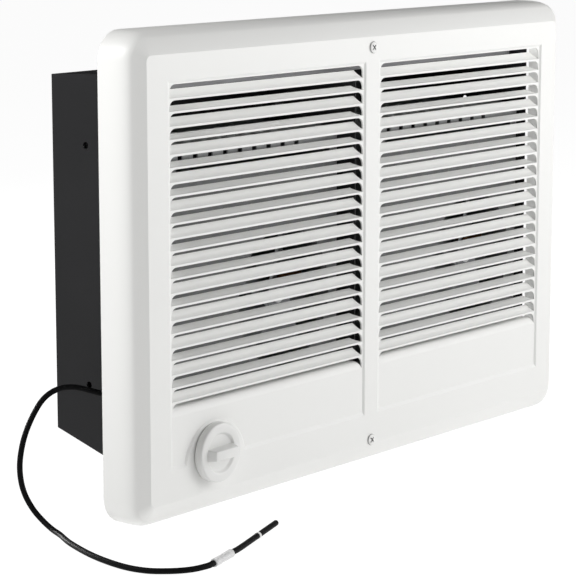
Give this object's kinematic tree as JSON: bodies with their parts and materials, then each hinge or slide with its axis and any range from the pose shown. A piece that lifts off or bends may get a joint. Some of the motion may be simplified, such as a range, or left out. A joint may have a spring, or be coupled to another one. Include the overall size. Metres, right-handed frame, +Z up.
{
  "type": "recessed wall fan heater",
  "caption": "Recessed wall fan heater: white pressed cover with louvred panels and a thermostat knob, over a dark steel wall can that holds fans, motors and finned elements.",
  "frame": {"origin": "centre of the wall opening, in the plane of the finished wall", "axes": "+X right along the width seen from the room, +Y into the wall, +Z up; the front faces -Y"},
  "size_m": [0.541, 0.1877, 0.318],
  "materials": {
    "dark_steel": "dark grey powder coat",
    "white_paint": "white powder coat, satin",
    "zinc": "galvanised sheet",
    "bright_steel": "bright steel",
    "fan_metal": "stamped aluminium",
    "winding": "enamelled copper winding",
    "ceramic": "unglazed ceramic",
    "stat_plastic": "black phenolic",
    "knob_plastic": "white moulded plastic",
    "bush_plastic": "black nylon",
    "lead_rubber": "black cable sheath",
    "sleeve_plastic": "light grey sleeve",
    "band_plastic": "white band",
    "green_paint": "green screw"
  },
  "bodies": {
    "heater_body": {"wall_can": "dark_steel", "front_cover": "white_paint", "cover_screws": "white_paint", "fan_deck_left": "zinc", "fan_deck_right": "zinc", "deck_screws": "bright_steel", "divider_plate": "zinc", "motor_bridge_left": "zinc", "motor_bridge_right": "zinc", "rear_bearing_left": "zinc", "rear_bearing_right": "zinc", "stator_left": "bright_steel", "stator_right": "bright_steel", "motor_coil_left": "winding", "motor_coil_right": "winding", "front_bearing_left": "zinc", "front_bearing_right": "zinc", "element_left": "bright_steel", "element_right": "bright_steel", "insulators_left": "ceramic", "insulators_right": "ceramic", "limit_switch_left": "bright_steel", "limit_switch_right": "bright_steel", "thermostat_body": "stat_plastic", "thermostat_screws": "bright_steel", "cable_bush": "bush_plastic", "ground_screw": "green_paint", "inner_lead": "lead_rubber", "link_lead_left": "lead_rubber", "link_lead_right": "lead_rubber", "supply_lead": "lead_rubber", "lead_sleeve": "sleeve_plastic", "lead_band": "band_plastic"},
    "knob_assembly": {"knob": "knob_plastic", "thermostat_shaft": "bright_steel"},
    "fan_assembly_left": {"fan_left": "fan_metal", "motor_shaft_left": "bright_steel", "rotor_left": "bright_steel", "fan_clip_left": "bright_steel"},
    "fan_assembly_right": {"fan_right": "fan_metal", "motor_shaft_right": "bright_steel", "rotor_right": "bright_steel", "fan_clip_right": "bright_steel"}
  },
  "joints": [
    {"name": "knob_turn", "type": "hinge", "parent": "heater_body", "child": "knob_assembly", "pos_m": [-0.168, -0.031, -0.1177], "axis": [0, 1, 0], "range_deg": [0, 270]},
    {"name": "fan_spin_left", "type": "hinge", "parent": "heater_body", "child": "fan_assembly_left", "pos_m": [-0.073, 0, -0.03], "axis": [0, 1, 0], "continuous": true},
    {"name": "fan_spin_right", "type": "hinge", "parent": "heater_body", "child": "fan_assembly_right", "pos_m": [0.148, 0, -0.03], "axis": [0, 1, 0], "continuous": true}
  ]
}
